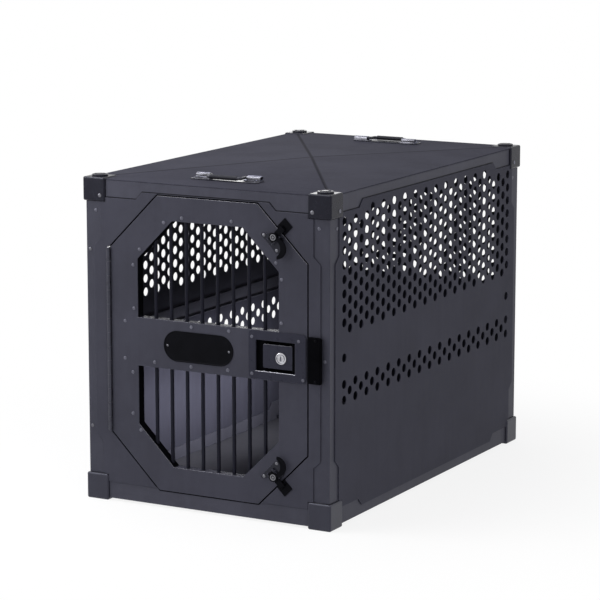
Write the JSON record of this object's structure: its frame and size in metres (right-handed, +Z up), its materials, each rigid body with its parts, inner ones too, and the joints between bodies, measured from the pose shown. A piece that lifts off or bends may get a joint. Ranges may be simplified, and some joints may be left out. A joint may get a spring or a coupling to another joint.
{
  "type": "dog kennel",
  "caption": "Heavy sheet-aluminium dog kennel with cast corners, perforated walls, a barred octagonal door on a piano hinge, a paddle latch, butterfly latches and folding roof handles.",
  "frame": {"origin": "centre of the bounding box at floor level", "axes": "+Z up, +Y from the door to the rear panel, +X to the right as one faces the door"},
  "size_m": [0.584, 0.923, 0.6973],
  "materials": {
    "panel_coat": "fine-textured dark grey powder coat on sheet aluminium",
    "frame_coat": "dark grey powder coat on aluminium angle",
    "casting_coat": "near-black coat on cast aluminium, slightly glossier",
    "bar_coat": "black coat on round bar",
    "hinge_coat": "black-coated steel piano hinge",
    "latch_coat": "dark coat on pressed and cast latch parts",
    "bright_steel": "bright steel",
    "grip_black": "dark-coated steel bail with a thickened grip",
    "black_rubber": "black rounded block"
  },
  "bodies": {
    "frame": {"post_front_left": "frame_coat", "casting_top_front_left": "casting_coat", "casting_bottom_front_left": "casting_coat", "post_front_right": "frame_coat", "casting_top_front_right": "casting_coat", "casting_bottom_front_right": "casting_coat", "post_rear_left": "frame_coat", "casting_top_rear_left": "casting_coat", "casting_bottom_rear_left": "casting_coat", "post_rear_right": "frame_coat", "casting_top_rear_right": "casting_coat", "casting_bottom_rear_right": "casting_coat", "rail_top_front": "frame_coat", "rail_top_rear": "frame_coat", "rail_top_left": "frame_coat", "rail_top_right": "frame_coat", "rail_bottom_front": "frame_coat", "rail_bottom_rear": "frame_coat", "rail_bottom_left": "frame_coat", "rail_bottom_right": "frame_coat", "front_panel_left": "panel_coat", "front_panel_right": "panel_coat", "rear_panel": "panel_coat", "left_panel": "panel_coat", "right_panel": "panel_coat", "roof_panel": "panel_coat", "floor_pan": "panel_coat", "belt_rail_left": "frame_coat", "belt_rail_right": "frame_coat", "hinge_leaf_frame": "hinge_coat", "hinge_pin": "bright_steel", "strike_guard": "black_rubber", "butterfly_keeper_upper": "latch_coat", "butterfly_keeper_lower": "latch_coat", "handle_base_front": "bright_steel", "handle_base_rear": "bright_steel"},
    "door": {"door_skin": "panel_coat", "window_frame_upper": "panel_coat", "window_frame_lower": "panel_coat", "door_bar_1": "bar_coat", "door_bar_2": "bar_coat", "door_bar_3": "bar_coat", "door_bar_4": "bar_coat", "door_bar_5": "bar_coat", "door_bar_6": "bar_coat", "door_bar_7": "bar_coat", "door_bar_8": "bar_coat", "hinge_leaf_door": "hinge_coat", "latch_housing": "latch_coat", "butterfly_base_upper": "latch_coat", "butterfly_base_lower": "latch_coat"},
    "paddle": {"latch_paddle": "latch_coat"},
    "key": {"key_plug": "bright_steel"},
    "bolt": {"latch_bolt": "bright_steel"},
    "wing_upper": {"butterfly_wing_upper": "bright_steel"},
    "wing_lower": {"butterfly_wing_lower": "bright_steel"},
    "hook_upper": {"butterfly_hook_upper": "latch_coat"},
    "hook_lower": {"butterfly_hook_lower": "latch_coat"},
    "handle_front": {"handle_bail_front": "grip_black"},
    "handle_rear": {"handle_bail_rear": "grip_black"}
  },
  "joints": [
    {"name": "door_hinge", "type": "hinge", "parent": "frame", "child": "door", "pos_m": [-0.231, -0.4525, 0.3475], "axis": [0, 0, -1], "range_deg": [0, 180]},
    {"name": "paddle_pull", "type": "hinge", "parent": "door", "child": "paddle", "pos_m": [0.204, -0.4463, 0.346], "axis": [0, 0, 1], "range_deg": [0, 35], "stiffness_Nm_per_rad": 0.1, "springref_deg": -11.46},
    {"name": "bolt_slide", "type": "slide", "parent": "door", "child": "bolt", "axis": [-1, 0, 0], "range_m": [0, 0.012]},
    {"name": "key_turn", "type": "hinge", "parent": "paddle", "child": "key", "pos_m": [0.177, -0.4505, 0.346], "axis": [0, -1, 0], "range_deg": [0, 90]},
    {"name": "wing_turn_upper", "type": "hinge", "parent": "door", "child": "wing_upper", "pos_m": [0.165, -0.4498, 0.594], "axis": [0, 1, 0], "range_deg": [0, 180]},
    {"name": "hook_slide_upper", "type": "slide", "parent": "door", "child": "hook_upper", "axis": [0.7071, 0, 0.7071], "range_m": [0, 0.008]},
    {"name": "wing_turn_lower", "type": "hinge", "parent": "door", "child": "wing_lower", "pos_m": [0.164, -0.4498, 0.101], "axis": [0, -1, 0], "range_deg": [0, 180]},
    {"name": "hook_slide_lower", "type": "slide", "parent": "door", "child": "hook_lower", "axis": [0.7071, 0, -0.7071], "range_m": [0, 0.008]},
    {"name": "handle_fold_front", "type": "hinge", "parent": "frame", "child": "handle_front", "pos_m": [0, -0.34865, 0.69297], "axis": [-1, 0, 0], "range_deg": [0, 100]},
    {"name": "handle_fold_rear", "type": "hinge", "parent": "frame", "child": "handle_rear", "pos_m": [0, 0.35765, 0.69297], "axis": [1, 0, 0], "range_deg": [0, 100]}
  ],
  "couplings": [
    {"joint": "bolt_slide", "follows": "paddle_pull", "m_per_rad": 0.0196},
    {"joint": "hook_slide_upper", "follows": "wing_turn_upper", "m_per_rad": 0.002546},
    {"joint": "hook_slide_lower", "follows": "wing_turn_lower", "m_per_rad": 0.002546}
  ]
}
